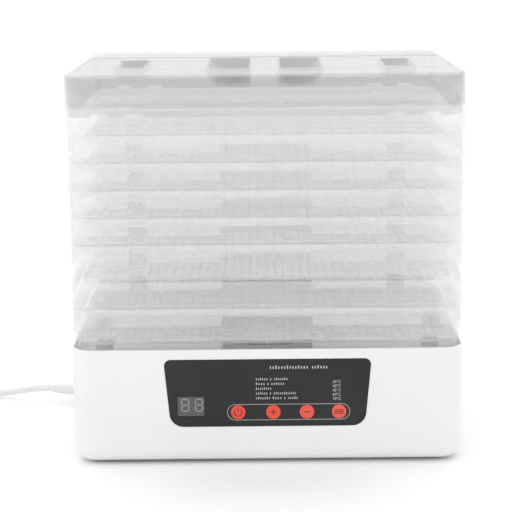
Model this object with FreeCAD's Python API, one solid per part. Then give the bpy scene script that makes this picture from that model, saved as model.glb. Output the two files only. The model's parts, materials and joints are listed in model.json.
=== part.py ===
"""Food dehydrator: a white fan base with eight clear stacking trays and a clear lid.

Millimetres, +Z up. The origin is the centre of the footprint, at the underside of the feet.
The control panel faces -Y, and +X is to the right of somebody who looks at it.
"""
import FreeCAD, Part
import math
import os

V = FreeCAD.Vector
Z_AXIS = V(0, 0, 1)
ORIGIN = V(0, 0, 0)

# ------------------------------------------------------------------ driving dimensions
WIDTH = 340.0
DEPTH = 280.0
CORNER = 20.0  # vertical corners of base, trays and lid

# base
FOOT_OUT = 2.5  # what a foot stands out under the bottom cover
COVER_H = 19.5
BASE_H = 101.0  # bottom cover's underside to the rim
BASE_WALL = 2.6
COVER_EDGE = 12.0  # radius along the lower edge
LIP_H = 3.0
LIP_T = 1.6
LIP_GAP = 0.2
BOSS_R = 6.5
DECK_DROP = 17.0  # rim down to the deck's upper face
DECK_T = 2.5
RIM_EDGE = 1.4
BASE_LIFT = 12.3  # how high the lowest tray stands over the base's rim

# trays
TRAYS = 8
TURNED = (7, 8)  # trays set the other way round, which stand high on the ledges
BAND_H = 23.5
TRAY_WALL = 2.0
SKIRT_H = 15.5
SKIRT_T = 2.0
SKIRT_GAP = 0.8
SHOULDER_T = 1.8
BAND_EDGE = 2.4  # slanted lower edge of each band
FLOOR_DROP = 6.0  # band's lower edge down to the floor's upper face
FLOOR_T = 2.0
FLOOR_FRAME = 7.0
RIB_PITCH = 22.0
RIB_W = 3.0
CROSS_RIBS = 5
CROSS_W = 2.4
TRAY_LIFT = 8.5  # the extra height of a tray that stands on ledges
LEDGE_W = 12.0
LEDGE_IN = 2.4
LEDGE_BACK_X = WIDTH / 2 - 30.0
LEDGE_FRONT_X = WIDTH / 2 - 60.0
SKIRT_NOTCH_H = 12.5
SKIRT_NOTCH_SIDE = 1.5
VIEW_NOTCH_W = 80.0
VIEW_NOTCH_TOP_W = 74.0
VIEW_NOTCH_H = 14.0
KERB_W = 95.0
KERB_TOP_W = 64.0
KERB_H = 5.6
KERB_T = 2.0

# lid
LID_H = 27.0
LID_WALL = 2.0
LID_IN = 0.5
LID_SPIGOT = 8.4
LID_EDGE = 2.2
LID_STEP = 0.8
WELL_INNER_X = 14.0
WELL_OUTER_X = 52.6
WELL_FLOOR_X = 40.0
WELL_HALF_Y = 70.5
WELL_DEPTH = 14.0
DISH_OUTER_X = WIDTH / 2 - 35.0
DISH_INNER_X = DISH_OUTER_X - 27.0
DISH_SLOPE = 6.0
DISH_HALF_Y = 44.6
DISH_DEPTH = 8.0
LID_SLOT_W = 2.6
LID_SLOT_L = 17.0
LID_SLOTS = 8
LID_SLOT_PITCH = 16.0

# control panel
PANEL_TOP_W = 179.4
PANEL_BOTTOM_W = 168.2
PANEL_TOP_Z = 94.8
PANEL_H = 59.9
PANEL_T = 2.2
PANEL_SUNK = 0.5
PANEL_SEAT = 2.3
PANEL_GAP = 0.15
PANEL_TOP_R = 5.5
PANEL_BOTTOM_R = 12.0
DISPLAY_X = -66.5
DISPLAY_Z = 53.0
DISPLAY_W = 23.1
DISPLAY_H = 17.0
DISPLAY_GAP = 0.1
BUTTON_R = 6.3
BUTTON_Z = 47.5
BUTTONS = {"power": -25.8, "plus": 4.7, "minus": 33.9, "mode": 61.6}
BUTTON_GAP = 0.15
BUTTON_PROUD = 0.4
BUTTON_TRAVEL = 0.6
FLANGE_R = BUTTON_R + 1.2
FLANGE_T = 1.0
STEM_R = 2.0
STEM_L = 7.3

# air inlet in the bottom cover
INLET_R = 56.0
INLET_SLOTS = 5  # to each side of the middle one
INLET_PITCH = 9.0
INLET_HALF = 2.0
INLET_BAR_Y = 20.0

# fan, heater and duct
FAN_R = 60.0
DUCT_R = FAN_R + 4.0
DUCT_FLANGE_R = DUCT_R + 12.0
GRILLE_HOLE_R = DUCT_R + 2.0
GRILLE_R = GRILLE_HOLE_R + 6.0
GRILLE_T = 1.8
GRILLE_RINGS = 6
GRILLE_HUB_R = 15.0
GRILLE_BAR = 2.4
GRILLE_SPOKES = 8
HUB_RISE = 2.6
DUCT_T = 1.2
DUCT_H = 29.0
FAN_HUB_R = 17.0
FAN_HUB_H = 12.0
BLADES = 7
BLADE_T = 1.6
SHAFT_R = 3.0
SHAFT_RUN = 0.05
CLOSE_FIT = 0.03
COIL_RINGS = (27.0, 39.0, 51.0)
COIL_WIRE_R = 2.4
VANE_T = 1.2
VANE_H = 8.0
VANE_GAP = 0.25
TAB_L = 16.0
STATOR_H = 15.0
ROTOR_R = 12.0
MOTOR_POST_X = 78.0
MOTOR_POST_R = 5.5
MOTOR_BOLT_X = 22.0
MOTOR_BOLT_YS = (-16.0, 14.0)
PLATE_X = 28.0  # half width of the motor's stator and plates
PLATE_FRONT = -22.0
PLATE_BACK = 18.0
BRACKET_T = 2.0

# fasteners
SCREW_R = 1.6
SCREW_HEAD_R = 3.2
SCREW_HEAD_T = 2.2
CORNER_SCREW_X = WIDTH / 2 - 22.0
CORNER_SCREW_Y = DEPTH / 2 - 56.0
FOOT_X = WIDTH / 2 - 38.0
FOOT_Y = DEPTH / 2 - 36.0
FOOT_R = 9.0
FOOT_IN = 1.4
FOOT_EDGE = 0.8
BOARD_T = 1.6
BOARD_INSET = 5.0  # a board's edge to its screws
BOARD_X = (-86.0, 78.0)
BOARD_Z = (34.0, 68.0)
BOARD_BEHIND = 13.3  # panel's back to the control board's face
POWER_BOARD_W = 80.0
POWER_BOARD_L = 70.0
POWER_BOARD_SIDE = 32.0  # side and back of the base to the power board's edges
POWER_BOARD_BACK = 40.0
POWER_BOARD_Z = 13.0
TERMINAL_IN = 8.0  # power board's edge to the terminal block
TERMINAL_Y = 26.0
BOARD_SCREW_R = 1.0
BOARD_HEAD_R = 2.4
BOARD_HEAD_T = 1.6
SOCKET_T = 6.0
SOCKET_W = 15.0
SPARE_SOCKET_X = 28.0
HARNESS_D = 3.0
HARNESS_X = -44.0
HARNESS_Z = 39.5
# the harness between its two sockets: shares of the way across and along, and height
HARNESS_WAY = (
    (0.16, 0.23, 31.0),
    (0.34, 0.36, 19.5),
    (0.45, 0.51, 12.0),
    (0.50, 0.66, 9.5),
    (0.63, 0.79, 11.5),
    (0.89, 0.90, 17.0),
)
SWITCH_H = 3.5

# mains lead
LEAD_D = 6.4
RELIEF_Z = 14.5
RELIEF_R = 6.0
RELIEF_TIP_R = 4.2
RELIEF_NECK_R = 4.4
RELIEF_INNER = 8.0
LEAD_POINTS = [
    V(-211.0, 66.0, 13.8),
    V(-224.4, 70.2, 13.55),
    V(-245.0, 78.5, 8.6),
    V(-266.0, 83.7, 4.6),
    V(-287.0, 83.0, 4.2),
    V(-308.0, 77.0, 4.2),
]
COIL_MIDDLE_R = 35.2
COIL_OUTER_R = COIL_MIDDLE_R + LEAD_D
COIL_SPREAD = 2.3  # extra room of the coiled turns inwards
COIL_LOW_Z = 4.2
COIL_HIGH_Z = COIL_LOW_Z + LEAD_D + 0.15
COIL_TURNS = 5.25
STUB = 26.0  # straight lead beside the coil
TIE_T = 0.9
TIE_HALF_W = 3.0
PLUG_DIP = 1.6  # degrees that the plug's nose hangs under its lead
PIN_R = 2.35
PIN_SPACING = 19.0

# ------------------------------------------------------------------ levels and insets
COVER_BOTTOM = FOOT_OUT
COVER_TOP = COVER_BOTTOM + COVER_H
RIM_Z = COVER_BOTTOM + BASE_H
DECK_Z = RIM_Z - DECK_DROP
DECK_UNDER = DECK_Z - DECK_T
FLOOR_IN_COVER = COVER_BOTTOM + BASE_WALL
FRONT = -DEPTH / 2
SKIRT_OUT = TRAY_WALL + SKIRT_GAP
SKIRT_IN = SKIRT_OUT + SKIRT_T
VANE_Z = DECK_UNDER - 9.5
FAN_Z = DECK_UNDER - 25.5
BRACKET_Z = FAN_Z - 7.0
STATOR_Z = BRACKET_Z - 8.0 - STATOR_H
LOW_PLATE_Z = STATOR_Z - 8.0
SHAFT_LOW = LOW_PLATE_Z - 2.5
PANEL_FACE = FRONT + PANEL_SUNK
PANEL_BACK = PANEL_FACE + PANEL_T
SEAT_BACK = PANEL_BACK + PANEL_SEAT
BOARD_FACE = PANEL_BACK + BOARD_BEHIND
POWER_X = -WIDTH / 2 + POWER_BOARD_SIDE
POWER_Y = DEPTH / 2 - POWER_BOARD_BACK - POWER_BOARD_L
HARNESS_END_X = POWER_X + 56.0
RELIEF_Y = POWER_Y + TERMINAL_Y - 2.0


def tray_levels():
    """The lower edge of each tray's band, from the lowest tray (8) up to tray 1."""
    levels = {}
    z = RIM_Z + BASE_LIFT
    turned = True
    for number in range(TRAYS, 0, -1):
        now_turned = number in TURNED
        if turned != now_turned:
            z += TRAY_LIFT
        levels[number] = z
        turned = now_turned
        z += BAND_H
    return levels, z


TRAY_Z, STACK_TOP = tray_levels()
LID_TOP = STACK_TOP + LID_H


# ------------------------------------------------------------------ small helpers
def slab(z_low, z_high, inset=0.0, width=WIDTH, depth=DEPTH, corner=CORNER):
    """A prism with rounded vertical corners, set in from the outline by inset."""
    x = width / 2 - inset
    y = depth / 2 - inset
    r = max(corner - inset, 0.5)
    k = r * (1 - math.sqrt(0.5))
    edges = [
        Part.makeLine(V(-x + r, -y, z_low), V(x - r, -y, z_low)),
        Part.Arc(V(x - r, -y, z_low), V(x - k, -y + k, z_low), V(x, -y + r, z_low)).toShape(),
        Part.makeLine(V(x, -y + r, z_low), V(x, y - r, z_low)),
        Part.Arc(V(x, y - r, z_low), V(x - k, y - k, z_low), V(x - r, y, z_low)).toShape(),
        Part.makeLine(V(x - r, y, z_low), V(-x + r, y, z_low)),
        Part.Arc(V(-x + r, y, z_low), V(-x + k, y - k, z_low), V(-x, y - r, z_low)).toShape(),
        Part.makeLine(V(-x, y - r, z_low), V(-x, -y + r, z_low)),
        Part.Arc(V(-x, -y + r, z_low), V(-x + k, -y + k, z_low), V(-x + r, -y, z_low)).toShape(),
    ]
    return Part.Face(Part.Wire(edges)).extrude(V(0, 0, z_high - z_low))


def ring_slab(z_low, z_high, outer_inset, inner_inset):
    return slab(z_low, z_high, outer_inset).cut(slab(z_low - 1, z_high + 1, inner_inset))


def block(x0, x1, y0, y1, z0, z1):
    return Part.makeBox(x1 - x0, y1 - y0, z1 - z0, V(x0, y0, z0))


def rod(x, y, z0, z1, r):
    return Part.makeCylinder(r, z1 - z0, V(x, y, z0), Z_AXIS)


def pipe(x, y, z0, z1, outer_r, inner_r):
    return rod(x, y, z0, z1, outer_r).cut(rod(x, y, z0 - 1, z1 + 1, inner_r))


def rod_y(x, z, y0, y1, r):
    return Part.makeCylinder(r, y1 - y0, V(x, y0, z), V(0, 1, 0))


def rod_x(y, z, x0, x1, r):
    return Part.makeCylinder(r, x1 - x0, V(x0, y, z), V(1, 0, 0))


def prism_y(points, y0, y1):
    """An outline in the XZ plane, pulled from y0 to y1."""
    corners = [V(x, y0, z) for x, z in points]
    wire = Part.makePolygon(corners + corners[:1])
    return Part.Face(wire).extrude(V(0, y1 - y0, 0))


def all_of(shapes):
    first, *rest = shapes
    return first.fuse(rest) if rest else first


def turned_copy(shape, degrees):
    copy = shape.copy()
    copy.rotate(ORIGIN, Z_AXIS, degrees)
    return copy


def edges_at(shape, z):
    """The edges that lie flat at height z."""
    return [e for e in shape.Edges if abs(e.BoundBox.ZMin - z) < 0.01 and abs(e.BoundBox.ZMax - z) < 0.01]


def save(node, *solids):
    """One node: one solid, or a group of separate ones."""
    shape = solids[0] if len(solids) == 1 else Part.makeCompound(list(solids))
    if not shape.isValid():
        raise ValueError(f"{node} isn't a valid shape")
    shape.exportStep(f"parts/{node}.step")
    print(f"{node}: {len(shape.Solids)} solid(s), {shape.Volume / 1000:.2f} cm3")


def mirrored_places(x, y):
    return [(sx * x, sy * y) for sx in (-1, 1) for sy in (-1, 1)]


def corner_places():
    return mirrored_places(CORNER_SCREW_X, CORNER_SCREW_Y)


def board_places():
    """The control board's screws, as (x, z)."""
    xs = (BOARD_X[0] + BOARD_INSET, BOARD_X[1] - BOARD_INSET)
    zs = (BOARD_Z[0] + BOARD_INSET, BOARD_Z[1] - BOARD_INSET)
    return [(x, z) for x in xs for z in zs]


def power_board_places():
    """The power board's screws, as (x, y)."""
    xs = (POWER_X + BOARD_INSET, POWER_X + POWER_BOARD_W - BOARD_INSET)
    ys = (POWER_Y + BOARD_INSET, POWER_Y + POWER_BOARD_L - BOARD_INSET)
    return [(x, y) for x in xs for y in ys]


# ------------------------------------------------------------------ trays
def ledge_places():
    """Where a tray's inner ledges stand: (x, side), side +1 at the back and -1 at the front."""
    return [(s * LEDGE_BACK_X, 1) for s in (-1, 1)] + [(s * LEDGE_FRONT_X, -1) for s in (-1, 1)]


def wall_strip(x, width, side, near, far, z0, z1):
    """A block along the front or back wall, between two insets from the outline."""
    a = side * (DEPTH / 2 - near)
    b = side * (DEPTH / 2 - far)
    return block(x - width / 2, x + width / 2, min(a, b), max(a, b), z0, z1)


def floor_windows(z0, z1):
    """The openings between the floor's ribs, as one compound."""
    x_end = WIDTH / 2 - SKIRT_IN - FLOOR_FRAME
    y_end = DEPTH / 2 - SKIRT_IN - FLOOR_FRAME
    ribs = int(x_end // RIB_PITCH)
    xs = [k * RIB_PITCH for k in range(-ribs, ribs + 1)]
    x_edges = [(-x_end, xs[0] - RIB_W / 2)]
    x_edges += [(a + RIB_W / 2, b - RIB_W / 2) for a, b in zip(xs, xs[1:])]
    x_edges += [(xs[-1] + RIB_W / 2, x_end)]
    step = 2 * y_end / (CROSS_RIBS + 1)
    y_edges = []
    for n in range(CROSS_RIBS + 1):
        low = -y_end + n * step + (CROSS_W / 2 if n else 0)
        high = -y_end + (n + 1) * step - (CROSS_W / 2 if n < CROSS_RIBS else 0)
        y_edges.append((low, high))
    narrow = RIB_W * 1.5
    cells = [
        block(x0, x1, y0, y1, z0, z1)
        for x0, x1 in x_edges
        if x1 - x0 > narrow
        for y0, y1 in y_edges
    ]
    return Part.makeCompound(cells)


def view_notch(side, z_low):
    """The wide gap in the middle of a skirt's front or back."""
    low = VIEW_NOTCH_W / 2
    high = VIEW_NOTCH_TOP_W / 2
    top = z_low + VIEW_NOTCH_H
    outline = [(-low, z_low - 1), (low, z_low - 1), (high, top), (-high, top)]
    ends = sorted([side * (DEPTH / 2 - SKIRT_OUT + 0.5), side * (DEPTH / 2 - SKIRT_IN)])
    return prism_y(outline, *ends)


def kerb(side, z_low):
    """The low raised edge that closes the wide gap above the floor."""
    outline = [
        (-KERB_W / 2, z_low),
        (KERB_W / 2, z_low),
        (KERB_TOP_W / 2, z_low + KERB_H),
        (-KERB_TOP_W / 2, z_low + KERB_H),
    ]
    near = DEPTH / 2 - SKIRT_IN
    ends = sorted([side * near, side * (near - KERB_T)])
    return prism_y(outline, *ends)


def tray():
    """One clear tray with its band's lower edge at z = 0."""
    band = slab(0, BAND_H)
    band = band.makeChamfer(BAND_EDGE, edges_at(band, 0))
    band = band.cut([slab(SHOULDER_T, BAND_H + 1, TRAY_WALL), slab(-1, SHOULDER_T + 1, SKIRT_IN)])
    skirt = ring_slab(-SKIRT_H, SHOULDER_T, SKIRT_OUT, SKIRT_IN)
    floor_low = -FLOOR_DROP - FLOOR_T
    floor = slab(floor_low, -FLOOR_DROP, SKIRT_IN - 0.5)
    body = all_of([band, skirt])
    for x, side in ledge_places():
        width = LEDGE_W + 2 * SKIRT_NOTCH_SIDE
        notch_top = SKIRT_NOTCH_H - SKIRT_H
        body = body.cut(wall_strip(x, width, side, SKIRT_OUT - 1, SKIRT_IN, -SKIRT_H - 1, notch_top))
    for side in (-1, 1):
        body = body.cut(view_notch(side, -SKIRT_H))
    floor = floor.cut(floor_windows(floor_low - 1, -FLOOR_DROP + 1))
    floor = floor.common(slab(floor_low - 1, 0, SKIRT_IN).fuse(skirt_keep()))
    body = all_of([body, floor] + [kerb(side, -FLOOR_DROP) for side in (-1, 1)])
    ledge_top = BAND_H - (SKIRT_H - TRAY_LIFT)
    ledges = []
    for x, side in ledge_places():
        far = TRAY_WALL + LEDGE_IN
        ledges.append(wall_strip(x, LEDGE_W, side, TRAY_WALL - 0.5, far, BAND_EDGE, ledge_top))
        ledges.append(wall_strip(x, LEDGE_W, side, SKIRT_OUT, far, SHOULDER_T - 0.5, BAND_EDGE))
    return all_of([body] + ledges)


def skirt_keep():
    """The zone where the floor may run into the skirt: everywhere but at the skirt's gaps."""
    zone = ring_slab(-SKIRT_H, 0, SKIRT_OUT, SKIRT_IN)
    width = LEDGE_W + 2 * SKIRT_NOTCH_SIDE
    gaps = [wall_strip(x, width, side, 0, SKIRT_IN, -SKIRT_H - 1, 1) for x, side in ledge_places()]
    gaps += [wall_strip(0, VIEW_NOTCH_W, side, 0, SKIRT_IN, -SKIRT_H - 1, 1) for side in (-1, 1)]
    return zone.cut(gaps)


def make_trays():
    shape = tray()
    for number, z in TRAY_Z.items():
        placed = turned_copy(shape, 180 if number in TURNED else 0)
        placed.translate(V(0, 0, z))
        save(f"tray_{number}", placed)


# ------------------------------------------------------------------ lid
def well(x_in, x_out, x_floor, half_y, depth, grow=0.0):
    """A finger well under the lid's top: upright inner side, slanted outer side."""
    top = LID_TOP + 1
    low = LID_TOP - depth - grow
    slope = (x_out - x_floor) / depth
    outline = [
        (x_in - grow, low),
        (x_floor + grow, low),
        (x_out + grow + slope, top),
        (x_in - grow, top),
    ]
    return prism_y(outline, -half_y - grow, half_y + grow)


def both_sides(shape):
    return [shape, shape.mirror(ORIGIN, V(1, 0, 0))]


def lid_wells(grow):
    finger = well(WELL_INNER_X, WELL_OUTER_X, WELL_FLOOR_X, WELL_HALF_Y, WELL_DEPTH, grow)
    dish = well(DISH_INNER_X, DISH_OUTER_X, DISH_OUTER_X - DISH_SLOPE, DISH_HALF_Y, DISH_DEPTH, grow)
    return both_sides(finger) + both_sides(dish)


def make_lid():
    outer = slab(STACK_TOP, LID_TOP, LID_IN)
    top_edges = edges_at(outer, LID_TOP)
    outer = outer.makeFillet(LID_EDGE, top_edges)
    hollow = slab(STACK_TOP - 1, LID_TOP - LID_WALL, LID_IN + LID_WALL)
    shell = outer.cut(hollow)
    spigot_low = STACK_TOP - LID_SPIGOT
    spigot = ring_slab(spigot_low, STACK_TOP + SHOULDER_T, SKIRT_OUT, SKIRT_IN)
    shoulder = ring_slab(STACK_TOP, STACK_TOP + SHOULDER_T, LID_IN + LID_WALL - 0.5, SKIRT_IN)
    ledge_depth = SKIRT_H - TRAY_LIFT
    for side in (-1, 1):
        for x in (-LEDGE_BACK_X, -LEDGE_FRONT_X, LEDGE_FRONT_X, LEDGE_BACK_X):
            width = LEDGE_W + 2 * SKIRT_NOTCH_SIDE
            notch_top = STACK_TOP - ledge_depth + SKIRT_NOTCH_SIDE
            gap = wall_strip(x, width, side, SKIRT_OUT - 1, SKIRT_IN + 1, spigot_low - 1, notch_top)
            spigot = spigot.cut(gap)
    inside_lid = slab(STACK_TOP - 1, LID_TOP - LID_WALL / 2, LID_IN + LID_WALL / 2)
    cups = all_of(lid_wells(LID_WALL)).common(inside_lid)
    body = all_of([shell, spigot, shoulder, cups])
    body = body.cut(lid_wells(0.0))
    step = block(-WIDTH, WIDTH, -WELL_HALF_Y, WELL_HALF_Y, LID_TOP - LID_STEP, LID_TOP + 1)
    rim_zone = slab(LID_TOP - LID_STEP, LID_TOP + 1, LID_IN + LID_WALL + LID_EDGE)
    body = body.cut(step.common(rim_zone))
    slots = []
    middle = (WELL_INNER_X + WELL_FLOOR_X) / 2
    for n in range(LID_SLOTS):
        y = (n - (LID_SLOTS - 1) / 2) * LID_SLOT_PITCH
        for s in (-1, 1):
            x0 = s * middle - LID_SLOT_L / 2
            half = LID_SLOT_W / 2
            low = LID_TOP - WELL_DEPTH - LID_WALL - 1
            slots.append(block(x0, x0 + LID_SLOT_L, y - half, y + half, low, low + LID_WALL + 2))
    save("lid", body.cut(slots))


# ------------------------------------------------------------------ base shells
def panel_outline(grow, y0, y1):
    """The control panel's trapezoid with its rounded corners, grown by a clearance."""
    low = PANEL_TOP_Z - PANEL_H - grow
    top = PANEL_TOP_Z + grow
    a = PANEL_BOTTOM_W / 2 + grow
    b = PANEL_TOP_W / 2 + grow
    plate = prism_y([(-a, low), (a, low), (b, top), (-b, top)], y0, y1)
    middle = (low + top) / 2
    across = [e for e in plate.Edges if abs(e.BoundBox.YLength - (y1 - y0)) < 0.01]
    low_edges = [e for e in across if e.BoundBox.Center.z < middle]
    top_edges = [e for e in across if e.BoundBox.Center.z > middle]
    plate = plate.makeFillet(PANEL_BOTTOM_R + grow, low_edges)
    across = [e for e in plate.Edges if abs(e.BoundBox.YLength - (y1 - y0)) < 0.01]
    top_edges = [e for e in across if e.BoundBox.Center.z > top - 1]
    return plate.makeFillet(PANEL_TOP_R + grow, top_edges)


def make_housing():
    shell = slab(COVER_TOP, RIM_Z)
    shell = shell.makeFillet(RIM_EDGE, edges_at(shell, RIM_Z))
    shell = shell.cut(slab(COVER_TOP - 1, DECK_UNDER, BASE_WALL))
    shell = shell.cut(slab(DECK_Z, RIM_Z + 1, TRAY_WALL))
    seat = panel_outline(6.0, FRONT + BASE_WALL - 0.5, SEAT_BACK)
    seat = seat.common(block(-WIDTH, WIDTH, FRONT, 0, COVER_TOP + LIP_H + 1, DECK_UNDER + 0.5))
    posts = [rod(x, y, COVER_TOP + LIP_H, DECK_UNDER + 0.5, 5.0) for x, y in corner_places()]
    board_posts = [rod_y(x, z, SEAT_BACK - 0.5, BOARD_FACE, 3.4) for x, z in board_places()]
    ledge_top = RIM_Z - (SKIRT_H - BASE_LIFT)
    ledges = [wall_strip(x, LEDGE_W, side, TRAY_WALL - 0.5, TRAY_WALL + LEDGE_IN, DECK_Z - 0.5, ledge_top)
              for x, side in ledge_places()]
    shell = all_of([shell, seat] + posts + board_posts + ledges)
    pocket = panel_outline(PANEL_GAP, FRONT - 1, PANEL_BACK)
    keys_low = min(BUTTONS.values()) - FLANGE_R - 2
    keys_high = max(BUTTONS.values()) + FLANGE_R + 2
    key_window = block(keys_low, keys_high, PANEL_BACK - 1, SEAT_BACK + 1,
                       BUTTON_Z - FLANGE_R - 1, BUTTON_Z + FLANGE_R + 1)
    w = DISPLAY_W / 2 + 1.2
    h = DISPLAY_H / 2 + 1.2
    display_window = block(DISPLAY_X - w, DISPLAY_X + w, PANEL_BACK - 1, SEAT_BACK + 1,
                           DISPLAY_Z - h, DISPLAY_Z + h)
    outlet = rod(0, 0, DECK_UNDER - 1, DECK_Z + 1, GRILLE_HOLE_R)
    bores = [rod(x, y, COVER_TOP, COVER_TOP + 16, SCREW_R + CLOSE_FIT)
             for x, y in corner_places()]
    board_bores = [rod_y(x, z, BOARD_FACE - 7, BOARD_FACE + 1, 1.1) for x, z in board_places()]
    duct_bores = [rod(x, y, DECK_UNDER - 1, DECK_Z - 0.8, SCREW_R + CLOSE_FIT)
                  for x, y in duct_screw_places()]
    shell = shell.cut([pocket, key_window, display_window, outlet] + bores + board_bores + duct_bores)
    save("base_housing", shell)


def duct_screw_places():
    r = (DUCT_R + DUCT_T + DUCT_FLANGE_R) / 2
    return [(r * math.cos(a), r * math.sin(a)) for a in [math.radians(45 + 90 * n) for n in range(4)]]


def make_cover():
    pan = slab(COVER_BOTTOM, COVER_TOP)
    pan = pan.makeFillet(COVER_EDGE, edges_at(pan, COVER_BOTTOM))
    hollow = slab(FLOOR_IN_COVER, COVER_TOP + 1, BASE_WALL)
    hollow = hollow.makeFillet(COVER_EDGE - BASE_WALL, edges_at(hollow, FLOOR_IN_COVER))
    pan = pan.cut(hollow)
    lip = ring_slab(COVER_TOP, COVER_TOP + LIP_H, BASE_WALL + LIP_GAP, BASE_WALL + LIP_GAP + LIP_T)
    lip_root = ring_slab(COVER_TOP - LIP_H, COVER_TOP, BASE_WALL - 0.5, BASE_WALL + LIP_GAP + LIP_T)
    bosses = [rod(x, y, FLOOR_IN_COVER - 0.5, COVER_TOP + LIP_H, BOSS_R) for x, y in corner_places()]
    board_posts = [rod(x, y, FLOOR_IN_COVER - 0.5, POWER_BOARD_Z, 3.6) for x, y in power_board_places()]
    motor_posts = [rod(s * MOTOR_POST_X, 0, FLOOR_IN_COVER - 0.5, BRACKET_Z, MOTOR_POST_R) for s in (-1, 1)]
    pan = all_of([pan, lip, lip_root] + bosses + board_posts + motor_posts)
    holes = []
    for x, y in corner_places():
        holes.append(rod(x, y, COVER_BOTTOM - 1, COVER_BOTTOM + 7, SCREW_HEAD_R + 0.8))
        holes.append(rod(x, y, COVER_BOTTOM, COVER_TOP + LIP_H + 1, SCREW_R + 0.3))
    for x, y in mirrored_places(FOOT_X, FOOT_Y):
        holes.append(rod(x, y, COVER_BOTTOM - 1, COVER_BOTTOM + FOOT_IN, FOOT_R + 0.05))
    for x, y in power_board_places():
        holes.append(rod(x, y, POWER_BOARD_Z - 7, POWER_BOARD_Z + 1, 1.1))
    for s in (-1, 1):
        holes.append(rod(s * MOTOR_POST_X, 0, BRACKET_Z - 14, BRACKET_Z + 1, SCREW_R + CLOSE_FIT))
    for n in range(-INLET_SLOTS, INLET_SLOTS + 1):
        x = n * INLET_PITCH
        half = math.sqrt(INLET_R**2 - x**2)
        holes.append(block(x - INLET_HALF, x + INLET_HALF, -half, half, COVER_BOTTOM - 1, FLOOR_IN_COVER + 1))
    pan = pan.cut(holes)
    pan = pan.fuse([block(-INLET_R, INLET_R, y - INLET_HALF, y + INLET_HALF, COVER_BOTTOM, FLOOR_IN_COVER)
                    for y in (-INLET_BAR_Y, INLET_BAR_Y)])
    relief_hole = rod_x(RELIEF_Y, RELIEF_Z, -WIDTH / 2 - 1, -WIDTH / 2 + 12, RELIEF_NECK_R + 0.1)
    save("bottom_cover", pan.cut(relief_hole).removeSplitter())


def make_feet():
    feet = []
    for x, y in mirrored_places(FOOT_X, FOOT_Y):
        foot = rod(x, y, 0, COVER_BOTTOM + FOOT_IN, FOOT_R)
        feet.append(foot.makeFillet(FOOT_EDGE, edges_at(foot, 0)))
    save("rubber_feet", *feet)


# ------------------------------------------------------------------ control panel
def make_panel():
    plate = panel_outline(0.0, PANEL_FACE, PANEL_BACK)
    w = DISPLAY_W / 2
    h = DISPLAY_H / 2
    y0 = PANEL_FACE - 1
    y1 = PANEL_BACK + 1
    holes = [block(DISPLAY_X - w, DISPLAY_X + w, y0, y1, DISPLAY_Z - h, DISPLAY_Z + h)]
    holes += [rod_y(x, BUTTON_Z, y0, y1, BUTTON_R + BUTTON_GAP) for x in BUTTONS.values()]
    save("control_panel", plate.cut(holes))
    w -= DISPLAY_GAP
    h -= DISPLAY_GAP
    lens = block(DISPLAY_X - w, DISPLAY_X + w, PANEL_FACE, PANEL_BACK, DISPLAY_Z - h, DISPLAY_Z + h)
    save("display_window", lens)
    y0 = PANEL_BACK + DISPLAY_GAP
    module = block(DISPLAY_X - w, DISPLAY_X + w, y0, BOARD_FACE, DISPLAY_Z - h, DISPLAY_Z + h)
    save("display_module", module)


def make_buttons():
    for name, x in BUTTONS.items():
        cap = rod_y(x, BUTTON_Z, PANEL_FACE - BUTTON_PROUD, PANEL_BACK + BUTTON_GAP + 0.5, BUTTON_R)
        front = [e for e in cap.Edges if abs(e.BoundBox.YMax - (PANEL_FACE - BUTTON_PROUD)) < 0.01]
        cap = cap.makeFillet(0.35, front)
        flange_face = PANEL_BACK + BUTTON_GAP
        flange = rod_y(x, BUTTON_Z, flange_face, flange_face + FLANGE_T, FLANGE_R)
        stem = rod_y(x, BUTTON_Z, flange_face + 0.5, flange_face + FLANGE_T + STEM_L, STEM_R)
        save(f"button_{name}", all_of([cap, flange, stem]))


def make_control_board():
    x0, x1 = BOARD_X
    z0, z1 = BOARD_Z
    back = BOARD_FACE + BOARD_T
    board = block(x0, x1, BOARD_FACE, back, z0, z1)
    holes = [rod_y(x, z, BOARD_FACE - 1, back + 1, BOARD_SCREW_R + 0.2) for x, z in board_places()]
    save("control_board", board.cut(holes))
    stem_end = PANEL_BACK + BUTTON_GAP + FLANGE_T + STEM_L
    switches = []
    for x in BUTTONS.values():
        body = block(x - 3, x + 3, BOARD_FACE - SWITCH_H, BOARD_FACE, BUTTON_Z - 3, BUTTON_Z + 3)
        plunger = rod_y(x, BUTTON_Z, stem_end + BUTTON_TRAVEL + 0.05, BOARD_FACE - SWITCH_H + 0.2, 1.7)
        switches.append(body.fuse(plunger))
    save("tact_switches", *switches)
    save("control_chip", block(-8, 10, back, back + 2.0, 42, 54))
    save("buzzer", rod_y(46, 49, back, back + 7.5, 6.0))
    half = SOCKET_W / 2
    sockets = [block(x - half, x + half, back, back + SOCKET_T, HARNESS_Z - 3, HARNESS_Z + 3)
               for x in (HARNESS_X, SPARE_SOCKET_X)]
    low = POWER_BOARD_Z + BOARD_T
    face = POWER_Y + 3.0
    sockets.append(block(HARNESS_END_X - half, HARNESS_END_X + half, face, face + SOCKET_T, low, low + 8))
    save("harness_sockets", *sockets)
    start = V(HARNESS_X, back + SOCKET_T, HARNESS_Z)
    end = V(HARNESS_END_X, face, low + 4)
    harness = [start, start + V(0, 15, 0)]
    for across, along, z in HARNESS_WAY:
        x = start.x + across * (end.x - start.x)
        harness.append(V(x, start.y + along * (end.y - start.y), z))
    harness += [end - V(0, 7, 0), end]
    save("panel_harness", wire(harness, HARNESS_D, "panel harness"))


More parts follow.
